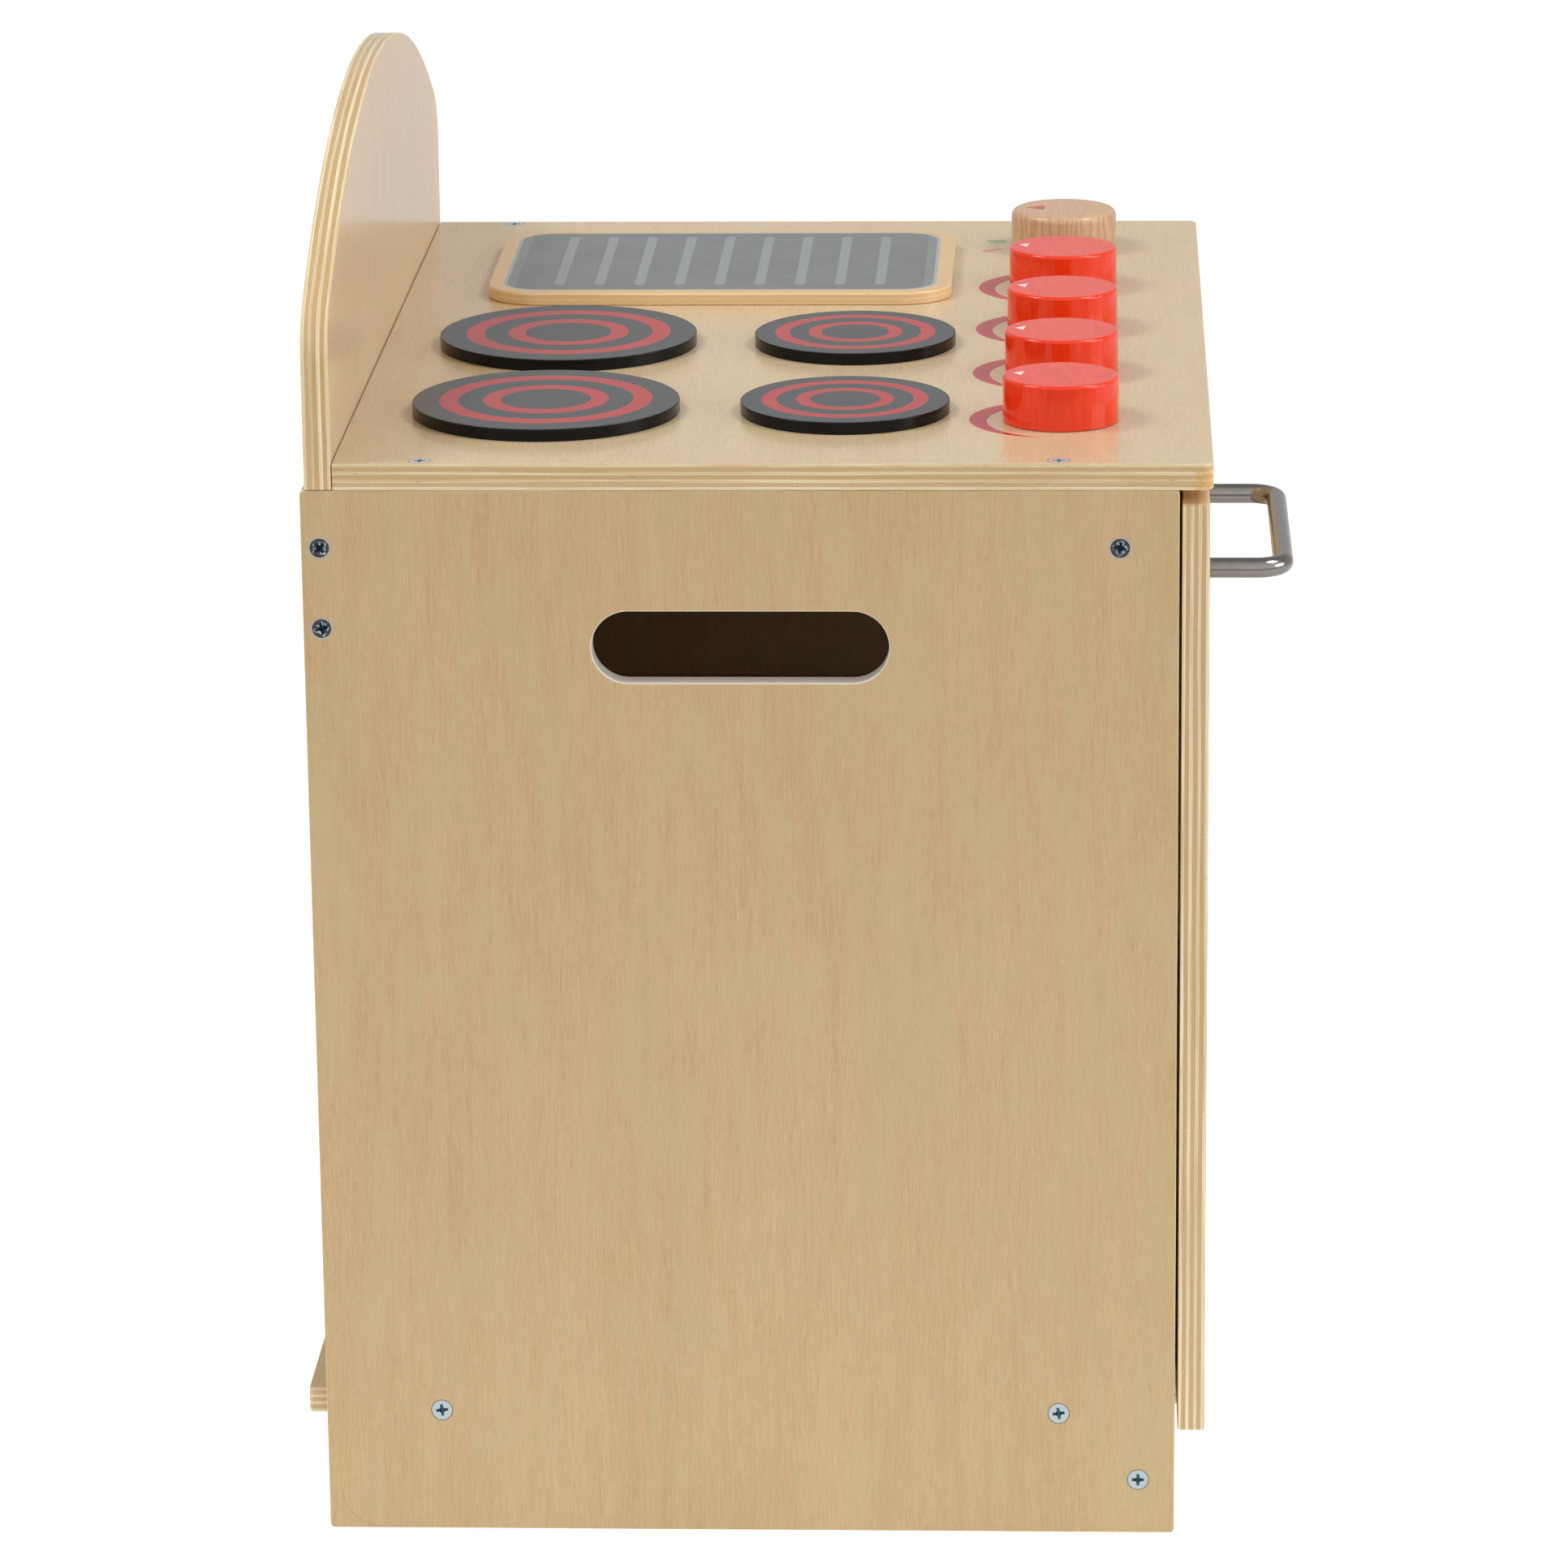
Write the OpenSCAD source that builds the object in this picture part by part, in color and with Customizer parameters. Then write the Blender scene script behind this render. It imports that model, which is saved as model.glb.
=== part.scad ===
// Toy oven: a plywood play stove with a drop-down door, four burner plates, a griddle and five
// knobs. Millimetres. +Z is up, the door faces -Y and the origin is on the floor, in the middle.
// A depth is measured forwards from the rear edges of the side panels; front_of() turns it into Y.

/* [Cabinet] */
// Width over the outside of the side panels
cabinet_w = 525; // [440:1:680]
// Depth of the side panels
panel_depth = 380; // [340:1:460]
// Height of the side panels
panel_h = 481; // [440:1:560]
// Thickness of every plywood board
board_t = 12; // [10:0.5:15]
// Rounding of the board edges
board_ease = 0.8; // [0.4:0.1:1.2]
// Rounding of the board corners, seen square on
board_corner_r = 2; // [1.5:0.5:6]

/* [Countertop] */
// How far the countertop reaches in front of the side panels
counter_lip = 14.6; // [13:0.2:30]
// Corner radius of the countertop
counter_corner_r = 5; // [2:0.5:20]
// Rounding of the countertop's edges
counter_ease = 0.9; // [0.5:0.1:1.8]
// Gap between the backsplash and the countertop
counter_gap = 0.4; // [0.3:0.1:3]
// Distance of the countertop screws from the rear and from the front edges of the side panels
counter_screw_in = 52; // [40:1:80]

/* [Backsplash] */
// How far the backsplash stands in from the rear edges of the side panels
splash_inset = 2.1; // [1:0.1:6]
// Height of the straight ends of the backsplash above the side panels
splash_end_h = 55; // [35:1:90]
// Height of the crown of the arch above the side panels
splash_peak_h = 146.5; // [130:0.5:200]
// Corner radius of the arch
splash_corner_r = 30; // [15:1:60]
// How far the tongue of the backsplash reaches down between the side panels
splash_tongue_h = 87; // [75:1:110]
// Gap between the tongue and the side panels, and between the ears and the side panels
splash_fit = 0.4; // [0.1:0.1:0.6]

/* [Rails and lower boards] */
// Height of the underside of the bottom board
leg_room = 51; // [40:1:70]
// How far the bottom board reaches out behind the side panels
bottom_reach = 9.2; // [5:0.2:16]
// Distance of the kick board behind the front edges of the side panels
kick_setback = 10.3; // [8:0.1:30]
// Height of the front rail
rail_h = 51; // [40:1:70]
// Distance of the front rail behind the front edges of the side panels
rail_setback = 19.5; // [17:0.1:24]
// Distance of the bottom board's screws from the rear and from the front edges of the side panels
bottom_screw_in = 51.8; // [35:1:80]

/* [Back panel] */
// Thickness of the back panel
back_t = 4; // [3:0.5:5]
// Depth of the grooves that hold the back panel
groove_depth = 4; // [3:0.5:6]
// Clearance on each side of the back panel in its grooves
groove_fit = 0.15; // [0.05:0.05:0.3]

/* [Shelf] */
// Height of the top of the shelf
shelf_top = 260; // [200:1:300]
// Distance of the shelf behind the front edges of the side panels
shelf_setback = 14; // [8:1:60]
// Gap between the shelf and the side panels, and behind the shelf
shelf_gap = 0.6; // [0.3:0.1:1]
// Radius of the shelf pins
shelf_pin_r = 2.5; // [2:0.25:4]
// Depth of a shelf pin in its hole
shelf_pin_in = 8; // [5:0.5:9]
// Length of a shelf pin under the shelf
shelf_pin_out = 9; // [6:0.5:14]
// Distance of the shelf pins from the rear and from the front edges of the side panels
shelf_pin_inset = 60; // [40:1:100]

/* [Hand slots] */
// Length of a hand slot
slot_len = 129.4; // [90:0.2:180]
// Height of a hand slot
slot_h = 32; // [24:0.5:45]
// Distance from the top of a side panel down to the middle of its hand slot
slot_drop = 70; // [60:1:110]
// Rounding of the rims of a hand slot
slot_ease = 1.4; // [0.5:0.1:3]

/* [Door] */
// Gap between the front edges of the side panels and the door
door_gap = 1.2; // [1:0.1:3]
// How far each end of the door stands in from the outside of the side panels
door_inset = 0.8; // [0:0.1:4]
// Gap between the top of the door and the countertop
door_top_gap = 6.2; // [3:0.1:10]
// How far the door reaches below the bottom board
door_drop = 2.4; // [0:0.1:6]
// Width of the window
window_w = 340; // [200:1:380]
// Height of the window
window_h = 190; // [100:1:210]
// Corner radius of the window
window_r = 25; // [8:1:50]
// Height of the middle of the window
window_mid = 235; // [220:1:240]
// Thickness of the window pane
pane_t = 3; // [2:0.5:4]
// How far the pane reaches past the window on every side
pane_lip = 14; // [12:0.5:18]
// Gap round the pane in its rebate
pane_fit = 0.3; // [0.1:0.1:0.6]

/* [Handle] */
// Distance between the legs of the handle
handle_pitch = 144; // [96:1:200]
// Diameter of the handle bar
handle_bar_d = 9.4; // [8:0.1:12]
// How far the handle reaches in front of the door
handle_reach = 42; // [35:0.5:50]
// Bend radius of the handle at the middle of the bar
handle_bend_r = 12.3; // [8:0.1:20]
// Distance from the top of the door down to the handle
handle_drop = 76.4; // [70:0.2:95]
// Radius of the screws that hold the handle
handle_screw_r = 2; // [1.5:0.25:3]
// Depth of the screw holes in the handle's legs
handle_hole_depth = 14; // [8:0.5:20]

/* [Hinges] */
// Length of a hinge
hinge_len = 50; // [40:1:80]
// Distance from each end of the door to the middle of its hinge
hinge_in = 71.7; // [60:0.1:120]
// Thickness of a hinge leaf
leaf_t = 0.8; // [0.6:0.1:1]
// Height of a hinge leaf above the hinge axis
leaf_h = 16; // [15:0.5:16.5]
// Gap between the closed leaves
leaf_gap = 0.3; // [0.2:0.05:0.4]
// Outer radius of the knuckles
knuckle_r = 2.4; // [2:0.1:3]
// Radius of the hinge pin
hinge_pin_r = 1.2; // [0.9:0.1:1.4]
// Gap between neighbouring knuckles
knuckle_gap = 0.3; // [0.2:0.05:0.5]
// Radial clearance of what turns: a hinge pin in its knuckles and a knob screw in its hole
run_fit = 0.06; // [0.04:0.01:0.1]

/* [Catch] */
// Width of the catch over its two ears
catch_w = 46; // [40:1:60]
// Width of the block between the ears
catch_block_w = 26; // [22:1:30]
// Height of the catch
catch_h = 14; // [10:0.5:18]
// Thickness of the ears
catch_ear_t = 3; // [2:0.5:5]
// Width of the magnet
magnet_w = 18; // [12:1:20]
// Thickness of the magnet
magnet_t = 6; // [4:0.5:8]
// How far the magnet stands out of its block
magnet_proud = 0.8; // [0.4:0.1:1.5]
// Depth of the magnet's seat in its block
magnet_seat = 8; // [5:0.5:12]
// Width of the strike plate
strike_w = 34; // [24:1:45]
// Height of the strike plate
strike_h = 13; // [10:0.5:18]
// Thickness of the strike plate
strike_t = 1.2; // [1:0.1:2]
// Gap between the magnet and the strike plate
catch_air = 0.3; // [0.2:0.05:0.6]

/* [Burner plates] */
// Radius of the two large burner plates
burner_big_r = 59.5; // [45:0.5:65]
// Radius of the two small burner plates
burner_small_r = 46.5; // [35:0.5:50]
// Thickness of the burner plates
burner_t = 5.7; // [4:0.1:9]
// Rounding of the burner plates' rims
burner_ease = 0.6; // [0.3:0.1:1.5]
// Part of the free depth of the countertop that lies behind the rear row, in percent
rear_share = 33.8; // [25:0.1:40]
// Part of the free depth that lies between the two rows, in percent
row_share = 35.4; // [25:0.1:40]
// Part of the free width of the countertop that lies left of the first column, in percent
left_share = 29.56; // [20:0.01:35]
// Part of the free width that lies between the two columns, in percent
col_share = 14.6; // [10:0.01:20]

/* [Griddle] */
// Width of the griddle plate, from left to right
griddle_w = 150; // [110:1:160]
// Depth of the griddle plate, from front to rear
griddle_d = 221.9; // [160:0.1:230]
// Thickness of the griddle plate
griddle_t = 6; // [4:0.5:10]
// Corner radius of the griddle plate
griddle_r = 25; // [10:1:45]
// Rounding of the griddle plate's rim
griddle_ease = 0.8; // [0.3:0.1:2]
// Part of the free depth of the countertop that lies behind the griddle plate, in percent
griddle_share = 58.7; // [40:0.1:65]
// Part of the free width that lies between the griddle plate and the burner plates, in percent
griddle_gap_share = 18.1; // [12:0.1:25]

/* [Knobs] */
// Radius of the knobs
knob_r = 25.65; // [18:0.05:27]
// Height of the knobs
knob_h = 20; // [14:0.5:30]
// Distance from the front edge of the countertop to the middle of the knobs
knob_in = 66.1; // [60:0.1:75]
// Distance from the cabinet's left side to the first knob
knob_first = 84; // [60:1:90]
// Distance from the last knob to the cabinet's right side
knob_last = 68.6; // [55:0.1:90]
// Rounding of the top edge of the burner knobs
knob_ease = 1.4; // [1:0.1:5]
// Rounding of the top edge of the oven knob
oven_knob_ease = 3.5; // [2:0.5:9]
// Gap between a knob and the countertop
knob_gap = 0.3; // [0.2:0.05:0.6]
// Radius of a knob screw
knob_screw_r = 2.5; // [2:0.25:3]
// Length of a knob screw inside its knob
knob_screw_in = 13; // [8:0.5:15]
// Radius of the head of a knob screw
knob_head_r = 4.8; // [4:0.2:6]
// Height of the head of a knob screw
knob_head_h = 3; // [2:0.25:4]
// Radius of the washers under the countertop
washer_r = 8; // [6.5:0.25:10]
// Thickness of the washers
washer_t = 1.5; // [1:0.25:2.5]

/* [Wood screws] */
// Radius of the heads of the cabinet screws
screw_head_r = 4.9; // [4:0.1:5.2]
// Radius of the cabinet screws
screw_r = 2.4; // [1.5:0.1:2.6]
// Length of the cabinet screws
screw_len = 38; // [25:1:45]
// Radius of the heads of the small screws
small_head_r = 2.6; // [2.2:0.1:3]
// Radius of the small screws
small_r = 1.4; // [1:0.1:1.6]
// Length of the small screws
small_len = 9; // [6:0.5:10]
// Clearance round a screw in its hole
screw_fit = 0.05; // [0.03:0.01:0.1]
// Radius of the locating dowels
dowel_r = 3; // [2:0.25:4]
// Length of a locating dowel in each of its two boards
dowel_half = 8; // [6:0.5:9]
// Distance from the screw of a rail to its dowel
dowel_drop = 15; // [10:1:18]

/* [Hidden] */
$fn = 64;

// Cabinet outline
half_w = cabinet_w/2;
inner_half = half_w - board_t;
handle_tip = panel_depth + door_gap + board_t + handle_reach;
rear_y = (handle_tip - bottom_reach)/2;

// Heights
counter_top = panel_h + board_t;
bottom_top = leg_room + board_t;
shelf_under = shelf_top - board_t;
rail_mid = panel_h - rail_h/2;
tongue_end = panel_h - splash_tongue_h;
slot_mid = panel_h - slot_drop;
bottom_mid = leg_room + board_t/2;
kick_mid = leg_room/2;

// Depths, measured forwards from the rear edges of the side panels
splash_mid = splash_inset + board_t/2;
counter_rear = splash_inset + board_t + counter_gap;
counter_front = panel_depth + counter_lip;
rail_front = panel_depth - rail_setback;
kick_front = panel_depth - kick_setback;
back_front = splash_mid + back_t/2;
door_rear = panel_depth + door_gap;
door_front = door_rear + board_t;

// Rows and columns on the countertop, with the free depth and width shared out between them
knob_count = 5;
knob_row = counter_front - knob_in;
knob_pitch = (cabinet_w - knob_first - knob_last)/(knob_count - 1);
row_depth = knob_row - knob_r - counter_rear;
row_free = row_depth - 2*burner_big_r - 2*burner_small_r;
rear_row = counter_rear + row_free*rear_share/100 + burner_big_r;
front_row = rear_row + burner_big_r + row_free*row_share/100 + burner_small_r;
col_free = cabinet_w - 4*burner_big_r - griddle_w;
burner_col = col_free*left_share/100 + burner_big_r;
burner_pitch = 2*burner_big_r + col_free*col_share/100;
griddle_mid = counter_rear + (row_depth - griddle_d)*griddle_share/100 + griddle_d/2;
griddle_gap = col_free*griddle_gap_share/100;
griddle_col = burner_col + burner_pitch + burner_big_r + griddle_gap + griddle_w/2;

// Door
door_w = cabinet_w - 2*door_inset;
door_low = leg_room - door_drop;
door_top = panel_h - door_top_gap;
handle_z = door_top - handle_drop;
pane_rebate = pane_t + pane_fit;

// Hinges: both leaves lie flat in the gap behind the door
bottom_front = door_rear - leaf_gap - 2*leaf_t;
hinge_depth = door_rear - leaf_t - leaf_gap/2;
hinge_z = door_low - knuckle_r - leaf_gap;
hinge_offset = door_w/2 - hinge_in;
leaf_screw_z = bottom_mid;
knuckles = 5;
knuckle_len = (hinge_len - (knuckles - 1)*knuckle_gap)/knuckles;
hinge_pin_head_r = 1.5*hinge_pin_r;
hinge_pin_head_t = 0.8;
leaf_screw_in = 8;
leaf_screw_x = hinge_len/2 - leaf_screw_in;

// Catch, fixed to the front of the rail
catch_front = door_rear - strike_t - catch_air - magnet_proud;
catch_z = rail_mid;

// Screw heads: the cross-shaped recess and the edge, as shares of the head's radius
recess_t_share = 0.26;
recess_core_share = 0.36;
recess_len_share = 1.1;
recess_depth_share = 0.4;
head_edge_share = 0.2;
round_head_h = 2.2;

// How far the corner discs of the arch stand out past its crown, and how far a cut runs on
corner_lap = 0.2;
over = 1;

function front_of(depth) = rear_y - depth;
function knob_x(i) = -half_w + knob_first + i*knob_pitch;

// Screws in each side panel: depth and height of each, and how far its cross is turned
side_screw_points = [
  [splash_mid, rail_mid, 42],
  [splash_mid, tongue_end + rail_h/2, 15],
  [rail_front - board_t/2, rail_mid, -12],
  [bottom_screw_in, bottom_mid, 7],
  [panel_depth - bottom_screw_in, bottom_mid, 8],
  [kick_front - board_t/2, kick_mid, 0]
];

// Dowels in each side panel
dowel_points = [
  [rail_front - board_t/2, rail_mid - dowel_drop],
  [kick_front - board_t/2, kick_mid + dowel_drop]
];

shelf_pin_depths = [shelf_pin_inset, panel_depth - shelf_pin_inset];
counter_screw_depths = [counter_screw_in, panel_depth - counter_screw_in];

pane_w = window_w + 2*pane_lip;
pane_h = window_h + 2*pane_lip;
pane_r = window_r + pane_lip;
pane_screw_points = [
  for (x = [-pane_w/2 + pane_lip/2, pane_w/2 - pane_lip/2], z = [-window_h/4, window_h/4]) [x, z],
  for (z = [-pane_h/2 + pane_lip/2, pane_h/2 - pane_lip/2]) [0, z]
];

// Both sides of the cabinet
module both_sides() {
  children();
  mirror([1, 0, 0]) children();
}

// A rectangle with round corners, middle at the origin
module round_rect(w, d, r) {
  square([w - 2*r, d], center = true);
  square([w, d - 2*r], center = true);
  for (x = [r - w/2, w/2 - r], y = [r - d/2, d/2 - r])
    translate([x, y]) circle(r);
}

// Half of the section of a disc with round rims, for turning
module disc_section(r, t, ease) {
  translate([0, -t/2]) square([r - ease, t]);
  translate([0, ease - t/2]) square([r, t - 2*ease]);
  for (z = [ease - t/2, t/2 - ease])
    translate([r - ease, z]) circle(ease);
}

// A disc with round rims, middle at the origin
module eased_disc(r, t, ease) {
  rotate_extrude() intersection() {
    disc_section(r, t, ease);
    translate([0, -t]) square([r + over, 2*t]);
  }
}

// A flat board in the XY plane with round corners and eased edges, middle at the origin
module board(w, d, t = board_t, r = board_corner_r, ease = board_ease) {
  rotate([90, 0, 90]) linear_extrude(w - 2*r, center = true) round_rect(d, t, ease);
  rotate([90, 0, 0]) linear_extrude(d - 2*r, center = true) round_rect(w, t, ease);
  for (x = [r - w/2, w/2 - r], y = [r - d/2, d/2 - r])
    translate([x, y, 0]) eased_disc(r, t, ease);
}

// A board that stands across the cabinet: width along X, height along Z
module cross_board(w, low, high, front, t = board_t) {
  translate([0, front_of(front - t/2), (low + high)/2])
    rotate([90, 0, 0]) board(w, high - low, t);
}

// A board that lies flat between the side panels
module flat_board(w, rear, front, top) {
  translate([0, front_of((rear + front)/2), top - board_t/2]) board(w, front - rear);
}

// What is cut away to round the rim of a hole, as a section
module rim_section(ease) {
  difference() {
    translate([-over, -ease]) square([ease + over, ease + over]);
    translate([ease, -ease]) circle(ease);
  }
}

// The same round the whole rim: the board's face is at z = 0 and the hole's middle at the origin
module rim_cut(w, h, r, ease) {
  for (a = [0, 180]) rotate([0, 0, a]) {
    translate([w/2 - r, h/2 - r, 0])
      rotate_extrude(angle = 90) translate([r, 0]) rim_section(ease);
    translate([r - w/2, h/2 - r, 0]) rotate([0, 0, 90])
      rotate_extrude(angle = 90) translate([r, 0]) rim_section(ease);
    translate([r - w/2, h/2, 0]) rotate([90, 0, 90])
      linear_extrude(w - 2*r) rim_section(ease);
    if (h > 2*r + over)
      translate([w/2, h/2 - r, 0]) rotate([90, 0, 0])
        linear_extrude(h - 2*r) rim_section(ease);
  }
}

// A countersunk screw that points down from z = 0; gap widens it into its hole
module sunk_screw(head_r, r, len, gap = 0) {
  head_h = head_r - r;
  translate([0, 0, -head_h]) cylinder(h = head_h, r1 = r + gap, r2 = head_r + gap);
  translate([0, 0, -len - gap]) cylinder(h = len + gap - head_h, r = r + gap);
}

// The cross-shaped recess of a screw whose head ends at z = 0
module cross_recess(head_r, depth) {
  len = head_r*recess_len_share;
  arm_t = head_r*recess_t_share;
  for (a = [0, 90]) rotate([0, 0, a])
    translate([-len/2, -arm_t/2, -depth]) cube([len, arm_t, depth + over]);
  translate([0, 0, -depth]) cylinder(h = depth + over, r1 = arm_t/2, r2 = head_r*recess_core_share);
}

// A screw with a round head that stands on z = 0
module round_screw(head_r, head_h, r, len) {
  edge = head_r*head_edge_share;
  difference() {
    union() {
      cylinder(h = head_h - edge, r = head_r);
      translate([0, 0, head_h - edge]) cylinder(h = edge, r1 = head_r, r2 = head_r - edge);
      translate([0, 0, -len]) cylinder(h = len, r = r);
    }
    translate([0, 0, head_h]) cross_recess(head_r, head_h/2);
  }
}

// A countersunk screw with its recess, or its hole where there is a gap
module sunk_or_hole(head_r, r, len, gap) {
  if (gap > 0) sunk_screw(head_r, r, len, gap);
  else difference() {
    sunk_screw(head_r, r, len);
    cross_recess(head_r, head_r*recess_depth_share);
  }
}

// A round-headed screw, or its hole where there is a gap
module round_or_hole(head_r, r, len, gap) {
  if (gap > 0) translate([0, 0, -len - gap]) cylinder(h = len + gap + over, r = r + gap);
  else round_screw(head_r, round_head_h, r, len);
}

// Places a screw that goes into the left side panel's outer face
module side_screw_at(point, gap = 0) {
  translate([-half_w, front_of(point[0]), point[1]]) rotate([0, -90, 0]) rotate([0, 0, point[2]])
    sunk_or_hole(screw_head_r, screw_r, screw_len, gap);
}

module side_screw_holes() {
  for (p = side_screw_points) side_screw_at(p, screw_fit);
}

module dowel_at(p, gap = 0) {
  translate([-inner_half - dowel_half - gap, front_of(p[0]), p[1]]) rotate([0, 90, 0])
    cylinder(h = 2*(dowel_half + gap), r = dowel_r + gap);
}

module dowel_holes() {
  for (p = dowel_points) dowel_at(p, screw_fit);
}

module shelf_pin_at(depth, gap = 0) {
  pin_z = shelf_under - shelf_pin_r - screw_fit;
  translate([-inner_half - shelf_pin_in - gap, front_of(depth), pin_z]) rotate([0, 90, 0])
    cylinder(h = shelf_pin_in + shelf_pin_out + gap, r = shelf_pin_r + gap);
}

module counter_screw_at(depth, gap = 0) {
  translate([-half_w + board_t/2, front_of(depth), counter_top])
    sunk_or_hole(screw_head_r, screw_r, screw_len, gap);
}

// The space that the back panel fills, with the clearance of its grooves
module back_space(gap) {
  low = bottom_top - groove_depth;
  high = tongue_end + groove_depth;
  translate([-inner_half - groove_depth - gap, front_of(back_front + gap), low - gap])
    cube([2*(inner_half + groove_depth + gap), back_t + 2*gap, high - low + 2*gap]);
}

module side_panel() {
  difference() {
    translate([board_t/2 - half_w, front_of(panel_depth/2), panel_h/2])
      rotate([90, 0, 90]) board(panel_depth, panel_h);
    translate([-half_w, front_of(panel_depth/2), slot_mid]) {
      rotate([90, 0, 90]) translate([0, 0, -over]) linear_extrude(board_t + 2*over) {
        square([slot_len - slot_h, slot_h], center = true);
        for (y = [-1, 1]) translate([y*(slot_len - slot_h)/2, 0]) circle(slot_h/2);
      }
      rotate([90, 0, -90]) rim_cut(slot_len, slot_h, slot_h/2, slot_ease);
      translate([board_t, 0, 0]) rotate([90, 0, 90])
        rim_cut(slot_len, slot_h, slot_h/2, slot_ease);
    }
    side_screw_holes();
    dowel_holes();
    for (d = shelf_pin_depths) shelf_pin_at(d, screw_fit);
    for (d = counter_screw_depths) counter_screw_at(d, screw_fit);
    back_space(groove_fit);
  }
}

module left_side() {
  color("burlywood") side_panel();
}

module right_side() {
  color("burlywood") mirror([1, 0, 0]) side_panel();
}

// Round at the front corners. The rear edge is sawn square, so a spare strip is cut off there.
module countertop() {
  spare = counter_corner_r + over;
  color("wheat") difference() {
    translate([0, front_of((counter_rear + counter_front - spare)/2), panel_h + board_t/2])
      board(cabinet_w, counter_front - counter_rear + spare, board_t, counter_corner_r,
            counter_ease);
    translate([-half_w - over, front_of(counter_rear), panel_h - over])
      cube([cabinet_w + 2*over, spare + over, board_t + 2*over]);
    both_sides() for (d = counter_screw_depths) counter_screw_at(d, screw_fit);
    for (i = [0:knob_count - 1]) translate([knob_x(i), front_of(knob_row), panel_h - over])
      cylinder(h = board_t + 2*over, r = knob_screw_r + run_fit);
  }
}

// The arch is one crown arc between two corner discs, which stand out past it by corner_lap
module arch_plate() {
  reach = half_w - splash_corner_r;
  rise = splash_peak_h - splash_end_h;
  inset_r = splash_corner_r - corner_lap;
  crown_r = (reach*reach + rise*rise - inset_r*inset_r)/(2*(rise - inset_r));
  crown_z = splash_peak_h - crown_r;
  far_x = reach*crown_r/(crown_r - splash_corner_r);
  far_z = crown_z + (splash_end_h - crown_z)*crown_r/(crown_r - splash_corner_r);
  // the crown, between the lines from its middle through the middles of the corner discs
  intersection() {
    translate([0, 0, crown_z]) rotate([90, 0, 0])
      eased_disc(crown_r, board_t, board_ease, $fn = 720);
    rotate([90, 0, 0]) linear_extrude(board_t + over, center = true)
      polygon([[-reach, splash_end_h], [reach, splash_end_h], [far_x, far_z],
               [far_x, splash_peak_h + over], [-far_x, splash_peak_h + over], [-far_x, far_z]]);
  }
  for (s = [-1, 1]) translate([s*reach, 0, splash_end_h]) rotate([90, 0, 0])
    eased_disc(splash_corner_r, board_t, board_ease, $fn = 128);
  // the straight ends
  translate([0, 0, splash_fit]) linear_extrude(splash_end_h - splash_fit)
    round_rect(cabinet_w, board_t, board_ease);
}

module backsplash() {
  tongue_half = inner_half - splash_fit;
  color("bisque") difference() {
    translate([0, front_of(splash_mid), panel_h]) union() {
      arch_plate();
      translate([0, 0, -splash_tongue_h]) linear_extrude(splash_tongue_h + splash_fit)
        square([2*tongue_half, board_t], center = true);
    }
    both_sides() side_screw_holes();
    back_space(groove_fit);
  }
}

module front_rail() {
  color("tan") difference() {
    cross_board(2*inner_half, panel_h - rail_h, panel_h, rail_front);
    both_sides() {
      side_screw_holes();
      dowel_holes();
    }
    for (x = [-1, 1]) catch_screw_at(x, screw_fit);
  }
}

module bottom_board() {
  color("burlywood") difference() {
    flat_board(2*inner_half, -bottom_reach, bottom_front, bottom_top);
    both_sides() side_screw_holes();
    back_space(groove_fit);
    for (s = [-1, 1], x = [-1, 1]) base_screw_at(s, x, screw_fit);
  }
}

module kick_board() {
  color("tan") difference() {
    cross_board(2*inner_half, 0, leg_room, kick_front);
    both_sides() {
      side_screw_holes();
      dowel_holes();
    }
  }
}

module back_panel() {
  color("tan") back_space(0);
}

module oven_shelf() {
  shelf_w = 2*(inner_half - shelf_gap);
  color("burlywood")
    flat_board(shelf_w, back_front + shelf_gap, panel_depth - shelf_setback, shelf_top);
}

module shelf_pins() {
  color("silver") both_sides() for (d = shelf_pin_depths) shelf_pin_at(d);
}

module locating_dowels() {
  color("peru") both_sides() for (p = dowel_points) dowel_at(p);
}

module side_screws() {
  color("lightsteelblue") both_sides() for (p = side_screw_points) side_screw_at(p);
}

module counter_screws() {
  color("lightsteelblue") both_sides() for (d = counter_screw_depths) counter_screw_at(d);
}

// Places what lies on the door's rear face and points forwards into the door
module on_door_rear(x, z, sink = 0) {
  translate([x, front_of(door_rear + sink), z]) rotate([-90, 0, 0]) children();
}

module door_panel() {
  color("burlywood") difference() {
    cross_board(door_w, door_low, door_top, door_front);
    // window, and the rebate for its pane behind it
    translate([0, front_of(door_front), window_mid]) rotate([90, 0, 0]) {
      translate([0, 0, -board_t - over]) linear_extrude(board_t + 2*over)
        round_rect(window_w, window_h, window_r);
      rim_cut(window_w, window_h, window_r, board_ease);
    }
    translate([0, front_of(door_rear - over), window_mid]) rotate([90, 0, 0])
      linear_extrude(pane_rebate + over)
        round_rect(pane_w + 2*pane_fit, pane_h + 2*pane_fit, pane_r + pane_fit);
    for (p = pane_screw_points) pane_screw_at(p, screw_fit);
    for (x = [-1, 1]) handle_screw_at(x, screw_fit);
    for (s = [-1, 1], x = [-1, 1]) flap_screw_at(s, x, screw_fit);
    strike_screw_at(screw_fit);
  }
}

module door_pane() {
  color("lightcyan", 0.4) difference() {
    translate([0, front_of(door_rear + pane_rebate - pane_t), window_mid]) rotate([90, 0, 0])
      linear_extrude(pane_t) round_rect(pane_w, pane_h, pane_r);
    for (p = pane_screw_points) pane_screw_at(p, screw_fit);
  }
}

module pane_screw_at(p, gap = 0) {
  on_door_rear(p[0], window_mid + p[1], pane_rebate - pane_t)
    round_or_hole(small_head_r, small_r, small_len, gap);
}

module pane_screws() {
  color("silver") for (p = pane_screw_points) pane_screw_at(p);
}

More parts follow.
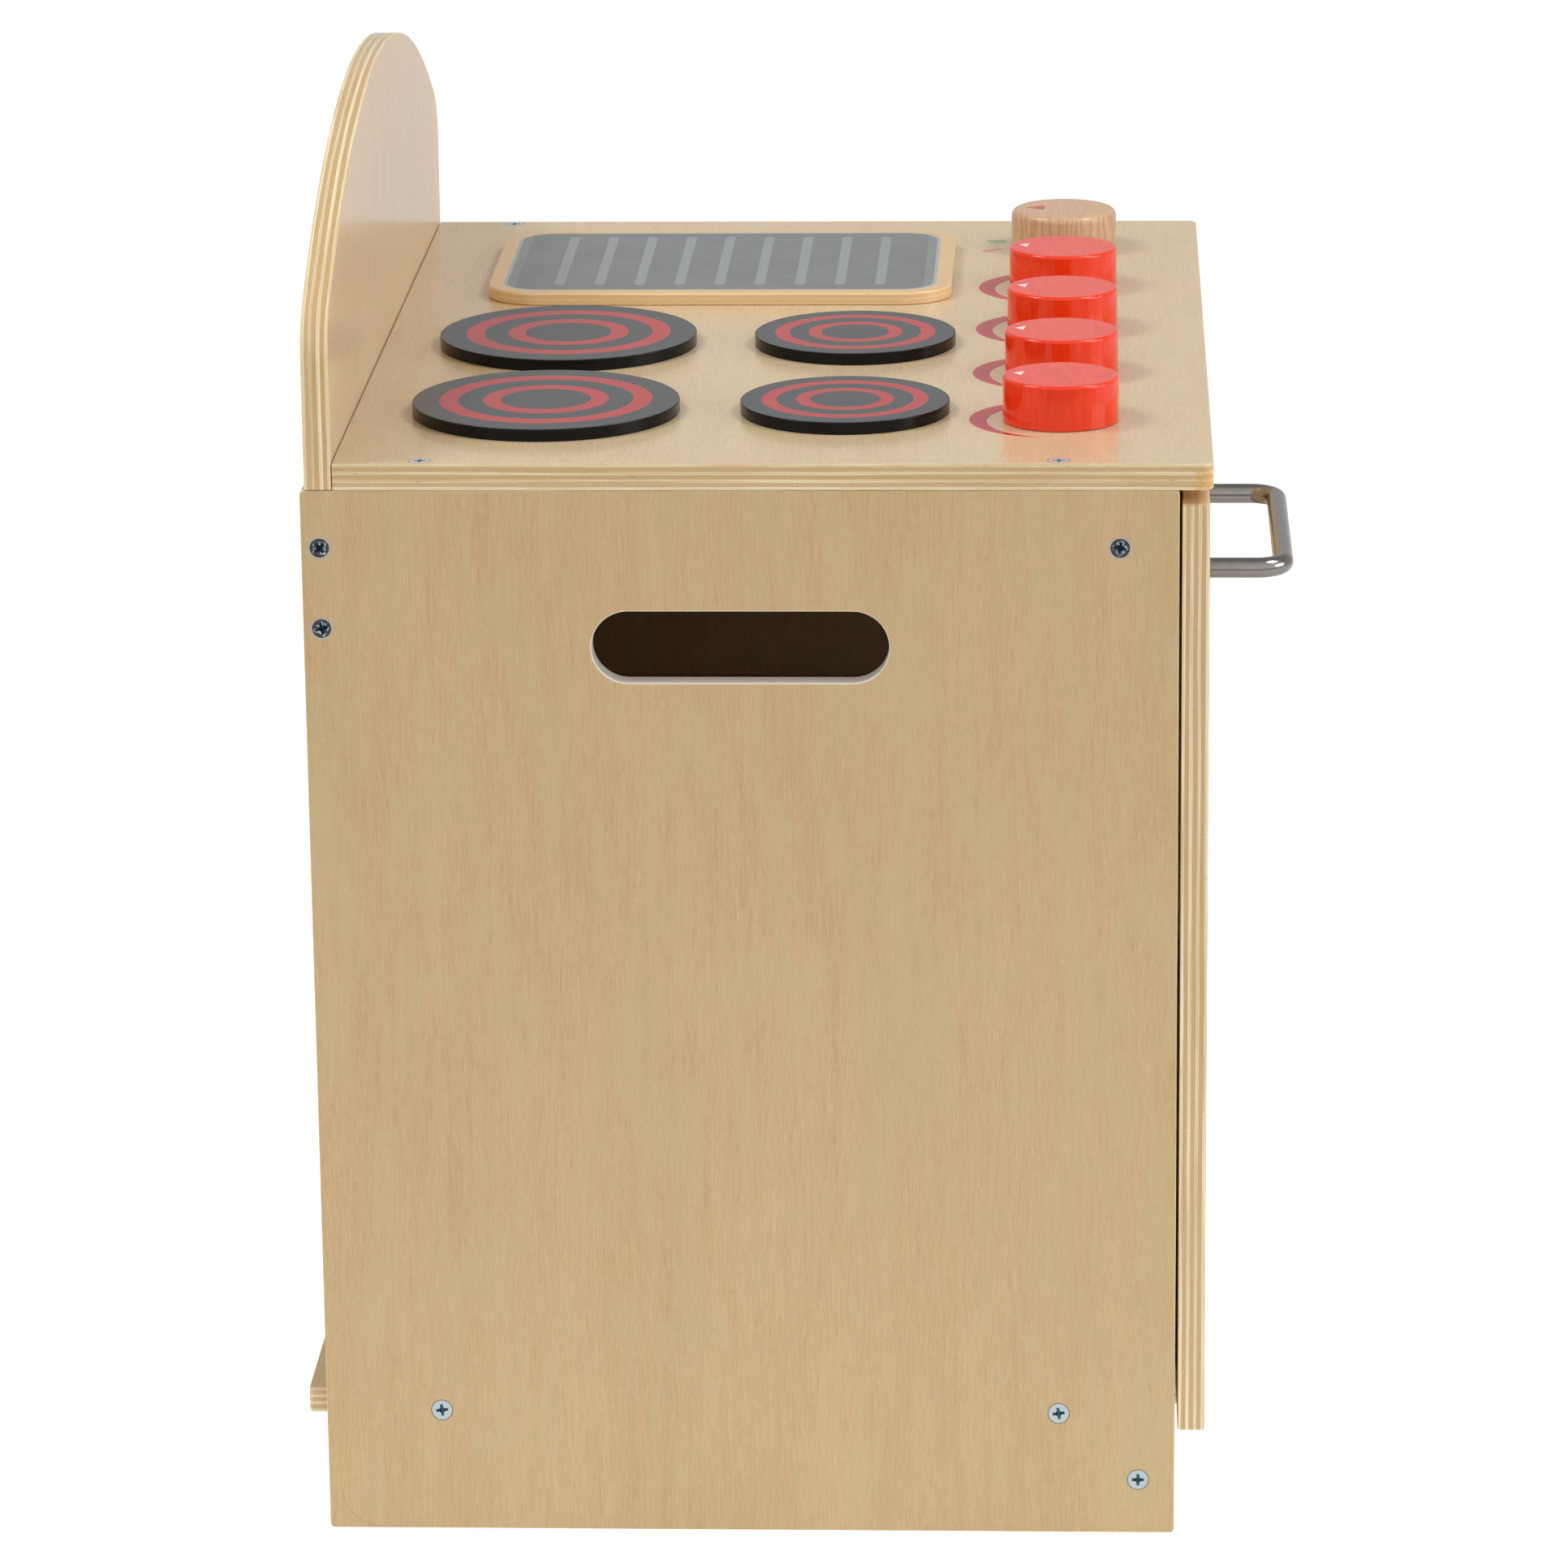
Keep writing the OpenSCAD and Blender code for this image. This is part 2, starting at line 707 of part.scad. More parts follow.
// Half of the handle: one leg, one bend and half of the bar
module handle_half() {
  leg = handle_reach - handle_bar_d/2 - handle_bend_r;
  bar_half = handle_pitch/2 - handle_bend_r;
  difference() {
    union() {
      translate([handle_pitch/2, 0, 0]) rotate([90, 0, 0]) cylinder(h = leg, r = handle_bar_d/2);
      translate([bar_half, -leg, 0]) rotate([0, 0, -90])
        rotate_extrude(angle = 90) translate([handle_bend_r, 0]) circle(handle_bar_d/2);
      translate([0, -leg - handle_bend_r, 0]) rotate([0, 90, 0])
        cylinder(h = bar_half, r = handle_bar_d/2);
    }
    translate([handle_pitch/2, over, 0]) rotate([90, 0, 0])
      cylinder(h = handle_hole_depth + over, r = handle_screw_r + screw_fit);
  }
}

module door_handle() {
  color("silver") translate([0, front_of(door_front), handle_z]) both_sides() handle_half();
}

module handle_screw_at(side, gap = 0) {
  len = board_t + handle_hole_depth - over;
  on_door_rear(side*handle_pitch/2, handle_z)
    round_or_hole(2*handle_screw_r, handle_screw_r, len, gap);
}

module handle_screws() {
  color("silver") for (x = [-1, 1]) handle_screw_at(x);
}

// A screw in the base leaf, which points rearwards into the bottom board
module base_screw_at(side, x, gap = 0) {
  translate([side*hinge_offset + x*leaf_screw_x, front_of(bottom_front + leaf_t), leaf_screw_z])
    rotate([90, 0, 0]) sunk_or_hole(small_head_r, small_r, small_len, gap);
}

// A screw in the door's leaf, which points forwards into the door
module flap_screw_at(side, x, gap = 0) {
  on_door_rear(side*hinge_offset + x*leaf_screw_x, leaf_screw_z, -leaf_t)
    sunk_or_hole(small_head_r, small_r, small_len, gap);
}

// One half of a hinge, about its own axis; it has every second knuckle, counted from first
module hinge_half(first, leaf_y) {
  difference() {
    union() {
      translate([-hinge_len/2, leaf_y, knuckle_r + leaf_gap])
        cube([hinge_len, leaf_t, leaf_h - knuckle_r - leaf_gap]);
      for (i = [first:2:knuckles - 1])
        translate([i*(knuckle_len + knuckle_gap) - hinge_len/2, 0, 0]) {
          rotate([0, 90, 0]) cylinder(h = knuckle_len, r = knuckle_r);
          translate([0, leaf_y, 0]) cube([knuckle_len, leaf_t, knuckle_r + leaf_gap]);
        }
    }
    translate([-hinge_len/2 - over, 0, 0]) rotate([0, 90, 0])
      cylinder(h = hinge_len + 2*over, r = hinge_pin_r + run_fit);
  }
}

module at_hinge(side) {
  translate([side*hinge_offset, front_of(hinge_depth), hinge_z]) children();
}

module hinge_base(side) {
  color("gold") difference() {
    at_hinge(side) hinge_half(0, leaf_gap/2);
    for (x = [-1, 1]) base_screw_at(side, x, screw_fit);
  }
}

module hinge_flap(side) {
  color("gold") difference() {
    at_hinge(side) hinge_half(1, -leaf_gap/2 - leaf_t);
    for (x = [-1, 1]) flap_screw_at(side, x, screw_fit);
  }
}

module hinge_pin(side) {
  color("darkgoldenrod") at_hinge(side) rotate([0, 90, 0]) {
    cylinder(h = hinge_len, r = hinge_pin_r, center = true);
    for (s = [-1, 1]) translate([0, 0, s*(hinge_len + hinge_pin_head_t)/2])
      cylinder(h = hinge_pin_head_t, r = hinge_pin_head_r, center = true);
  }
}

module hinge_base_screws() {
  color("silver") for (s = [-1, 1], x = [-1, 1]) base_screw_at(s, x);
}

module hinge_flap_screws() {
  color("silver") for (s = [-1, 1], x = [-1, 1]) flap_screw_at(s, x);
}

// The catch sits on the front of the rail
module catch_housing() {
  block = catch_front - rail_front;
  seat_half = magnet_t/2 + screw_fit;
  color("whitesmoke") difference() {
    translate([0, front_of(rail_front), catch_z]) {
      translate([-catch_w/2, -catch_ear_t, -catch_h/2]) cube([catch_w, catch_ear_t, catch_h]);
      translate([-catch_block_w/2, -block, -catch_h/2]) cube([catch_block_w, block, catch_h]);
    }
    translate([-magnet_w/2 - screw_fit, front_of(catch_front) - over, catch_z - seat_half])
      cube([magnet_w + 2*screw_fit, magnet_seat + over, 2*seat_half]);
    for (x = [-1, 1]) catch_screw_at(x, screw_fit);
  }
}

module catch_magnet() {
  color("dimgray")
    translate([-magnet_w/2, front_of(catch_front + magnet_proud), catch_z - magnet_t/2])
      cube([magnet_w, magnet_proud + magnet_seat, magnet_t]);
}

module catch_screw_at(side, gap = 0) {
  x = side*(catch_w + catch_block_w)/4;
  translate([x, front_of(rail_front + catch_ear_t), catch_z]) rotate([90, 0, 0])
    round_or_hole(small_head_r, small_r, small_len, gap);
}

module catch_screws() {
  color("silver") for (x = [-1, 1]) catch_screw_at(x);
}

module strike_plate() {
  color("silver") difference() {
    translate([-strike_w/2, front_of(door_rear), catch_z - strike_h/2])
      cube([strike_w, strike_t, strike_h]);
    strike_screw_at(screw_fit);
  }
}

module strike_screw_at(gap = 0) {
  on_door_rear(0, catch_z, -strike_t)
    sunk_or_hole(small_head_r, small_r, small_len, gap);
}

module strike_screw() {
  color("silver") strike_screw_at();
}

// A burner plate glued to the countertop
module burner(r, row, col) {
  x = burner_col + col*burner_pitch - half_w;
  color("dimgray") translate([x, front_of(row), counter_top + burner_t/2])
    eased_disc(r, burner_t, burner_ease, $fn = 180);
}

module griddle_plate() {
  color("lightslategray")
    translate([griddle_col - half_w, front_of(griddle_mid), counter_top + griddle_t/2])
      board(griddle_w, griddle_d, griddle_t, griddle_r, griddle_ease);
}

// A knob that turns on its own screw
module knob(i, ease, name) {
  color(name) translate([knob_x(i), front_of(knob_row), counter_top + knob_gap])
    rotate_extrude($fn = 128) difference() {
      union() {
        square([knob_r, knob_h - ease]);
        square([knob_r - ease, knob_h]);
        intersection() {
          translate([knob_r - ease, knob_h - ease]) circle(ease);
          square([knob_r, knob_h]);
        }
      }
      square([knob_screw_r + screw_fit, knob_screw_in + screw_fit]);
    }
}

module knob_screw(i) {
  under = panel_h - washer_t - knob_gap;
  len = counter_top + knob_gap + knob_screw_in - under;
  color("silver") translate([knob_x(i), front_of(knob_row), under]) rotate([180, 0, 0])
    round_screw(knob_head_r, knob_head_h, knob_screw_r, len);
}

module knob_washers() {
  color("ivory") for (i = [0:knob_count - 1])
    translate([knob_x(i), front_of(knob_row), panel_h - washer_t]) difference() {
      cylinder(h = washer_t, r = washer_r);
      translate([0, 0, -over]) cylinder(h = washer_t + 2*over, r = knob_screw_r + run_fit);
    }
}

left_side();
right_side();
countertop();
backsplash();
front_rail();
bottom_board();
kick_board();
back_panel();
oven_shelf();
shelf_pins();
locating_dowels();
side_screws();
counter_screws();
door_panel();
door_pane();
pane_screws();
door_handle();
handle_screws();
hinge_base(-1);  // left_hinge_base
hinge_flap(-1);  // left_hinge_flap
hinge_pin(-1);  // left_hinge_pin
hinge_base(1);  // right_hinge_base
hinge_flap(1);  // right_hinge_flap
hinge_pin(1);  // right_hinge_pin
hinge_base_screws();
hinge_flap_screws();
catch_housing();
catch_magnet();
catch_screws();
strike_plate();
strike_screw();
burner(burner_big_r, rear_row, 0);  // burner_rear_left
burner(burner_big_r, rear_row, 1);  // burner_rear_middle
burner(burner_small_r, front_row, 0);  // burner_front_left
burner(burner_small_r, front_row, 1);  // burner_front_middle
griddle_plate();
knob(0, knob_ease, "red");  // burner_knob_1
knob(1, knob_ease, "red");  // burner_knob_2
knob(2, knob_ease, "red");  // burner_knob_3
knob(3, knob_ease, "red");  // burner_knob_4
knob(4, oven_knob_ease, "peru");  // oven_knob
knob_screw(0);  // burner_knob_screw_1
knob_screw(1);  // burner_knob_screw_2
knob_screw(2);  // burner_knob_screw_3
knob_screw(3);  // burner_knob_screw_4
knob_screw(4);  // oven_knob_screw
knob_washers();
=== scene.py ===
"""Finishes, light and camera for the toy oven. Patterns are laid out in millimetres."""
import math

import bmesh
import bpy
from mathutils import Matrix, Vector


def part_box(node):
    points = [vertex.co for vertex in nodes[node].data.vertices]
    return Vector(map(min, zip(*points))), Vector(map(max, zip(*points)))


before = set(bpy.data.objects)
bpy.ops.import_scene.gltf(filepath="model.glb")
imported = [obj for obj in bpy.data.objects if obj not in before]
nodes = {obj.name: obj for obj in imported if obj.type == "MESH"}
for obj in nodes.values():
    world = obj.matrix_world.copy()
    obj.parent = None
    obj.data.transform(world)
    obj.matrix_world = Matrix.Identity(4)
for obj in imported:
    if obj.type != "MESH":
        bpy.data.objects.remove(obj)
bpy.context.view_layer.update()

X, Y, Z = 0, 1, 2
MM = 1000

# Colours, in linear light. A wood has those of its veneer, of its edge plies and of their glue.
BOARD_WOOD = {
    "pale": (0.640, 0.460, 0.250), "tan": (0.480, 0.312, 0.150), "olive": (0.525, 0.410, 0.212),
    "pore": (0.360, 0.215, 0.090), "cream_ply": (0.89, 0.80, 0.55), "tan_ply": (0.470, 0.275, 0.105),
    "glue": (0.420, 0.215, 0.075), "speck": (0.110, 0.050, 0.018),
}
COUNTER_WOOD = {
    **BOARD_WOOD,
    "pale": (0.735, 0.575, 0.365), "tan": (0.585, 0.430, 0.245), "olive": (0.630, 0.515, 0.300),
}
# Painted light: the backsplash's wood is a lighter copy of the board wood, standing in for light on its
# front face.
SPLASH_WOOD_PAINTED_LIGHTER = {
    **BOARD_WOOD,
    "pale": (0.80, 0.58, 0.36), "tan": (0.63, 0.435, 0.24), "olive": (0.68, 0.53, 0.31),
}
GRIDDLE_WOOD = {
    **BOARD_WOOD,
    "pale": (0.80, 0.56, 0.29), "tan": (0.66, 0.41, 0.17), "olive": (0.72, 0.50, 0.22),
    "cream_ply": (0.93, 0.74, 0.46), "tan_ply": (0.72, 0.49, 0.24),
    "glue": (0.50, 0.29, 0.11), "speck": (0.50, 0.29, 0.11),
}
BLACK_LACQUER = (0.060, 0.064, 0.067)
BLACK_WOOD = {
    **dict.fromkeys(("pale", "tan", "olive", "pore"), BLACK_LACQUER),
    "cream_ply": (0.007, 0.006, 0.005), "tan_ply": (0.004, 0.004, 0.004),
    "glue": (0.018, 0.013, 0.009), "speck": (0.018, 0.013, 0.009),
}
# Painted light: a light warm tan on the door's top face, which lies in shade under the countertop.
DOOR_TOP_PAINTED_LIGHT = (0.86, 0.52, 0.25)
BARE_SLOT = (0.86, 0.82, 0.77)
PALE_FLECK = (0.80, 0.62, 0.40)
GLUE_STAIN = (0.62, 0.33, 0.06)
KNOB_RED = (0.88, 0.050, 0.010)
DEEP_RED = (0.76, 0.028, 0.004)
RING_RED = (0.45, 0.046, 0.046)
PRINT_RED = (0.50, 0.022, 0.028)
FAINT_RED = (0.62, 0.15, 0.08)
PRINT_GREEN = (0.13, 0.34, 0.05)
PRINT_WHITE = (0.80, 0.79, 0.77)
GRIDDLE_GREY = (0.117, 0.135, 0.128)
GRIDDLE_CLOUD = (0.154, 0.172, 0.166)
GRIDDLE_BAR = (0.240, 0.268, 0.262)
GRIDDLE_LINE = (0.34, 0.40, 0.40)
KNOB_WOOD = (0.66, 0.43, 0.265)
KNOB_WOOD_RING = (0.37, 0.175, 0.085)
KNOB_WOOD_PORE = (0.30, 0.13, 0.05)
SATIN_STEEL = (0.345, 0.320, 0.295)
PALE_ZINC = (0.58, 0.67, 0.70)
# Painted shade: a dark ring round the edge of a pale screw head.
PALE_ZINC_EDGE_SHADE = (0.16, 0.13, 0.11)
# Painted shade: the dark teal cross over a pale head's recess.
PALE_ZINC_CROSS_SHADE = (0.045, 0.125, 0.165)
# Painted reflection on the upper side screws: a dark head, a bright rim and white glints.
DARK_ZINC_PAINTED_REFLECTION = (0.13, 0.12, 0.13)
PAINTED_ZINC_GLINT = (0.90, 0.98, 1.0)
PAINTED_ZINC_RIM_HIGHLIGHT = (0.90, 0.87, 0.84)
# Painted shade: the dark cross over an upper head's recess.
DARK_ZINC_CROSS_SHADE = (0.012, 0.055, 0.085)
BRIGHT_ZINC = (0.62, 0.67, 0.71)
NICKEL = (0.70, 0.665, 0.60)
WHITE_PLASTIC = (0.78, 0.78, 0.75)
DARK_MAGNET = (0.055, 0.055, 0.06)
BEECH = (0.62, 0.44, 0.27)
DARK_BEECH = (0.48, 0.31, 0.17)
CLEAR_PANE = (0.985, 0.995, 0.995)
HAZY_PANE = (0.95, 0.97, 0.97)
FLOOR_WHITE = (0.56, 0.56, 0.56)
FLOOR_CLOUD = (0.54, 0.54, 0.54)
WHITE = (1.0, 1.0, 1.0)

LACQUER = {"Roughness": 0.22, "IOR": 1.5}
SOFT_LACQUER = {"Roughness": 0.34, "IOR": 1.5}
SPLASH_LACQUER = {"Roughness": 0.17, "IOR": 1.25}
BLACK_GLOSS = {"Roughness": 0.22, "IOR": 1.25}


class Finish:
    """A material, and short ways to add to its node tree. Lengths are millimetres."""

    def __init__(self, name, **shader):
        self.material = bpy.data.materials.new(name)
        self.material.use_nodes = True
        self.tree = self.material.node_tree
        self.shader = self.tree.nodes["Principled BSDF"]
        self.set(**shader)
        place = self.tree.nodes.new("ShaderNodeTexCoord")
        self.normal = place.outputs["Normal"]
        self.place = self.vector("SCALE", place.outputs["Object"], scale=MM)
        self.axes = self.split(self.place)

    def set(self, **shader):
        for name, value in shader.items():
            self.feed(self.shader.inputs[name.replace("_", " ")], value)

    def feed(self, socket, value):
        if isinstance(value, bpy.types.NodeSocket):
            self.tree.links.new(value, socket)
        elif isinstance(value, tuple) and len(socket.default_value) == 4:
            socket.default_value = (*value, 1)
        else:
            socket.default_value = value

    def node(self, kind, values=(), **settings):
        made = self.tree.nodes.new("ShaderNode" + kind)
        for name, value in settings.items():
            setattr(made, name, value)
        for name, value in dict(values).items():
            self.feed(made.inputs[name], value)
        return made

    def math(self, operation, *values, clamp=False):
        return self.node("Math", enumerate(values), operation=operation, use_clamp=clamp).outputs[0]

    def both(self, first, second):
        return self.math("MULTIPLY", first, second)

    def total(self, *weighted):
        """The sum of values, each times its weight."""
        total = 0.0
        for value, weight in weighted:
            total = self.math("MULTIPLY_ADD", value, weight, total)
        return total

    def absolute(self, value):
        return self.math("ABSOLUTE", value)

    def vector(self, operation, *values, scale=None):
        values = list(enumerate(values)) + ([(3, scale)] if scale is not None else [])
        made = self.node("VectorMath", values, operation=operation)
        return made.outputs["Value" if operation in ("LENGTH", "DOT_PRODUCT") else "Vector"]

    def split(self, vector):
        return tuple(self.node("SeparateXYZ", {0: vector}).outputs)

    def join(self, x, y, z=0.0):
        return self.node("CombineXYZ", {0: x, 1: y, 2: z}).outputs[0]

    def fade(self, value, start, end):
        """1 below start, 0 above end. The two change places for a rising step."""
        low, high = min(start, end), max(start, end)
        ends = {3: 1.0, 4: 0.0} if start < end else {3: 0.0, 4: 1.0}
        return self.node("MapRange", {0: value, 1: low, 2: high, **ends}).outputs[0]

    def mix(self, share, first, second):
        made = self.node("Mix", {0: share, 6: first, 7: second}, data_type="RGBA")
        return made.outputs[2]

    def grain(self, lengths, seed, detail=3.0, wave=0.0, low=0.3, high=0.7):
        """Noise from 0 to 1 whose marks have these lengths along X, Y and Z."""
        at = self.node("Mapping", {0: self.place, 1: (seed, 2.3*seed, 3.1*seed),
                                   3: tuple(1/length for length in lengths)}).outputs[0]
        noise = self.node("TexNoise", {"Vector": at, "Scale": 1.0, "Detail": detail,
                                       "Roughness": 0.6, "Distortion": wave}).outputs[0]
        return self.fade(noise, high, low)

    def marks(self, axis, along, across, seed, **shape):
        """Noise whose marks have one length along an axis and another across it."""
        lengths = [across]*3
        lengths[axis] = along
        return self.grain(lengths, seed, **shape)

    def bump(self, height, depth):
        """Raises the surface by up to depth where height is 1."""
        made = self.node("Bump", {"Height": height, "Distance": depth/MM})
        self.set(Normal=made.outputs[0])

    def facing(self, axis, full=0.9, none=0.7):
        """1 on surfaces that face along the axis."""
        return self.fade(self.split(self.normal)[axis], full, none)

    def distance(self, x, y, middle):
        across = self.math("SUBTRACT", x, middle[0])
        along = self.math("SUBTRACT", y, middle[1])
        return self.vector("LENGTH", self.join(across, along))

    def disc(self, x, y, middle, radius, soft=0.12):
        return self.fade(self.distance(x, y, middle), radius - soft, radius + soft)

    def ring(self, x, y, middle, inner, outer, soft=0.15):
        far = self.distance(x, y, middle)
        return self.both(self.fade(far, outer - soft, outer + soft),
                         self.fade(far, inner + soft, inner - soft))

    def dash(self, x, y, start, end, start_r, end_r, soft=0.15):
        """A round-ended stroke whose radius runs from start_r to end_r."""
        way = Vector(end) - Vector(start)
        from_start = self.vector("SUBTRACT", self.join(x, y), (*start, 0.0))
        share = self.math("DIVIDE", self.vector("DOT_PRODUCT", from_start, (*way, 0.0)),
                          way.length_squared, clamp=True)
        nearest = self.vector("SCALE", (*way, 0.0), scale=share)
        far = self.vector("LENGTH", self.vector("SUBTRACT", from_start, nearest))
        width = self.math("MULTIPLY_ADD", share, end_r - start_r, start_r)
        return self.fade(self.math("SUBTRACT", far, width), -soft, soft)


def box_mm(node):
    low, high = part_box(node)
    return low*MM, high*MM


def wear(node, material):
    for slot in nodes[node].material_slots:
        slot.material = material


class Plywood(Finish):
    """Lacquered plywood: veneer with grain on its two faces, and its plies on every edge."""

    def __init__(self, name, node, thick, along, plies, seed, wood=BOARD_WOOD, **shader):
        super().__init__(name, **shader)
        self.worn_by, self.wood, self.seed = node, wood, seed
        low, high = box_mm(node)
        self.face = self.fade(self.absolute(self.split(self.normal)[thick]), 0.80, 0.60)
        depth = self.math("DIVIDE", self.math("SUBTRACT", self.axes[thick], low[thick]),
                          high[thick] - low[thick])
        self.colour = self.mix(self.face, self.edge(depth, thick, plies), self.veneer(along))

    def veneer(self, grain):
        """Pinkish and greenish patches run along the grain under fine fibres and short pores."""
        wood, seed = self.wood, self.seed
        broad = self.marks(grain, along=260.0, across=46.0, seed=seed, detail=2.0, wave=0.9)
        bands = self.marks(grain, along=90.0, across=6.0, seed=seed + 11, wave=0.8)
        fibres = self.marks(grain, along=17.0, across=0.8, seed=seed + 23, wave=0.6)
        hairs = self.marks(grain, along=6.0, across=0.45, seed=seed + 29, detail=2.0)
        patches = self.marks(grain, along=70.0, across=15.0, seed=seed + 41, detail=2.0, wave=0.9,
                             low=0.42, high=0.66)
        self.pores = self.marks(grain, along=4.5, across=0.42, seed=seed + 37, detail=1.0,
                                low=0.60, high=0.76)
        tone = self.total((broad, 0.20), (bands, 0.22), (fibres, 0.40), (hairs, 0.42))
        colour = self.mix(tone, wood["pale"], wood["tan"])
        colour = self.mix(self.both(patches, 0.55), colour, wood["olive"])
        return self.mix(self.both(self.pores, 0.26), colour, wood["pore"])

    def edge(self, depth, thick, plies):
        """Long grain and end grain take turns from ply to ply, with a thin line of glue between."""
        wood, seed = self.wood, self.seed
        wobble = self.marks(thick, along=6.0, across=90.0, seed=seed + 3, detail=2.0)
        threads = self.marks(thick, along=0.6, across=90.0, seed=seed + 5, low=0.42, high=0.60)
        hairs = self.marks(thick, along=0.3, across=14.0, seed=seed + 6, detail=1.0)
        ends = self.marks(thick, along=0.7, across=0.7, seed=seed + 7, detail=2.0)
        patches = self.marks(thick, along=1.5, across=60.0, seed=seed + 8, detail=2.0, wave=0.5,
                             low=0.50, high=0.68)
        specks = self.marks(thick, along=0.7, across=9.0, seed=seed + 9, detail=2.0,
                            low=0.69, high=0.76)
        layer = self.math("MULTIPLY_ADD", self.math("SUBTRACT", wobble, 0.5), 0.22,
                          self.both(depth, float(plies)))
        number = self.math("FLOOR", layer)
        crossed = self.math("MODULO", number, 2.0)
        tone = self.node("TexWhiteNoise", {"W": self.math("ADD", number, seed)},
                         noise_dimensions="1D").outputs[0]
        long_ply = self.total((hairs, 0.1275), (threads, 0.4675))
        cross_ply = self.math("MULTIPLY_ADD", ends, 0.30, 0.58)
        colour = self.mix(crossed, self.mix(long_ply, wood["cream_ply"], wood["tan_ply"]),
                          self.mix(cross_ply, wood["cream_ply"], wood["tan_ply"]))
        colour = self.mix(self.both(tone, 0.35), colour, wood["tan_ply"])
        colour = self.mix(self.both(patches, 0.30), colour, wood["tan_ply"])
        from_middle = self.absolute(self.math("SUBTRACT", self.math("FRACT", layer), 0.5))
        seam = self.fade(from_middle, 0.475, 0.43)
        colour = self.mix(self.both(seam, 0.55), colour, wood["glue"])
        return self.mix(self.both(specks, 0.70), colour, wood["speck"])

    def lay(self, share, colour):
        """Lays a colour over the wood, in full where share is 1."""
        self.colour = self.mix(share, self.colour, colour)

    def lay_on_top(self, share, colour):
        self.lay(self.both(self.facing(Z), share), colour)

    def finish(self, pore_depth=0.02):
        self.set(Base_Color=self.colour)
        self.bump(self.math("SUBTRACT", 1.0, self.pores), pore_depth)
        wear(self.worn_by, self.material)


# On a side panel, along Y and Z: the middle of the hand slot, and half of a room round it that
# holds no other edge. The scored arc's middle lies this far in from the lower rear corner.
SLOT_MIDDLE, SLOT_ROOM = (23.0, 411.0), (100.0, 30.0)
SCORE_IN, SCORE_INNER, SCORE_OUTER = (23.5, 18.8), 17.4, 17.9


def side_details(board, node):
    """Bare wood inside the hand slot, a few pale flecks, and a scored arc at the rear corner."""
    y, z = board.axes[1:]
    high = box_mm(node)[1]
    near_slot = [board.fade(board.absolute(board.math("SUBTRACT", at, middle)), room, room + 1)
                 for at, middle, room in zip((y, z), SLOT_MIDDLE, SLOT_ROOM)]
    wall = board.both(board.math("SUBTRACT", 1.0, board.face), board.both(*near_slot))
    board.lay(board.both(wall, 0.80), BARE_SLOT)
    flecks = board.marks(Z, along=4.5, across=0.5, seed=907.0, detail=1.0, low=0.735, high=0.77)
    board.lay(board.both(board.face, board.both(flecks, 0.5)), PALE_FLECK)
    middle = Vector((high.y - SCORE_IN[0], SCORE_IN[1]))
    score = board.ring(y, z, middle, SCORE_INNER, SCORE_OUTER, 0.2)
    score = board.both(score, board.fade(z, middle.y - 0.8, middle.y + 0.2))
    score = board.both(score, board.fade(y, middle.x + 1, middle.x - 1))
    board.lay(board.both(board.face, board.both(score, 0.40)), BOARD_WOOD["pore"])


# Boards: the axis across the thickness, the axis of the face grain, and the number of plies
BOARDS = {
    "left_side": (X, Z, 7), "right_side": (X, Z, 7), "backsplash": (Y, Z, 7),
    "front_rail": (Y, X, 7), "bottom_board": (Z, X, 7), "kick_board": (Y, X, 7),
    "back_panel": (Y, Z, 3), "oven_shelf": (Z, X, 7), "door_panel": (Y, Z, 7),
}


def boards():
    for number, (node, (thick, along, plies)) in enumerate(BOARDS.items()):
        splash = node == "backsplash"
        # The backsplash wears the lighter copy of the wood: painted light.
        wood, lacquer = (SPLASH_WOOD_PAINTED_LIGHTER, SPLASH_LACQUER) if splash else (BOARD_WOOD, SOFT_LACQUER)
        board = Plywood(node + "_plywood", node, thick, along, plies, 50.0*number + 4, wood, **lacquer)
        if node in ("left_side", "right_side"):
            side_details(board, node)
        if node == "door_panel":
            # Painted light: the door's top face is painted a light warm tan, though it lies in shade under
            # the countertop.
            board.lay(board.both(board.facing(Z, 0.95), 0.65), DOOR_TOP_PAINTED_LIGHT)
        board.finish()


boards()


def middles_from_above(names):
    return {name: (sum(box_mm(name), Vector()) / 2).to_2d() for name in names}


BURNER_KNOBS = middles_from_above(f"burner_knob_{number}" for number in range(1, 5))
OVEN_KNOB = middles_from_above(["oven_knob"])["oven_knob"]

# Prints on the countertop, from a knob's middle. A crescent is a disc with another cut out, and
# each has its middle and its radius. A dash has its two ends and the radius at each.
CRESCENT_DISC, CRESCENT_CUT = ((0.5, 5.0), 35.3), ((-2.8, -0.5), 33.0)
GREEN_DASH = ((18.0, 37.0), (16.5, 32.6), 1.6, 4.4)
RED_DASH = ((-6.5, 37.4), (-1.5, 31.4), 2.8, 1.4)
# The glue stain is a soft disc, placed from the countertop's lower near front corner
STAIN_PLACE, STAIN_RADIUS, STAIN_TOP = Vector((0.5, 3.5, 0.0)), 4.2, 8.0


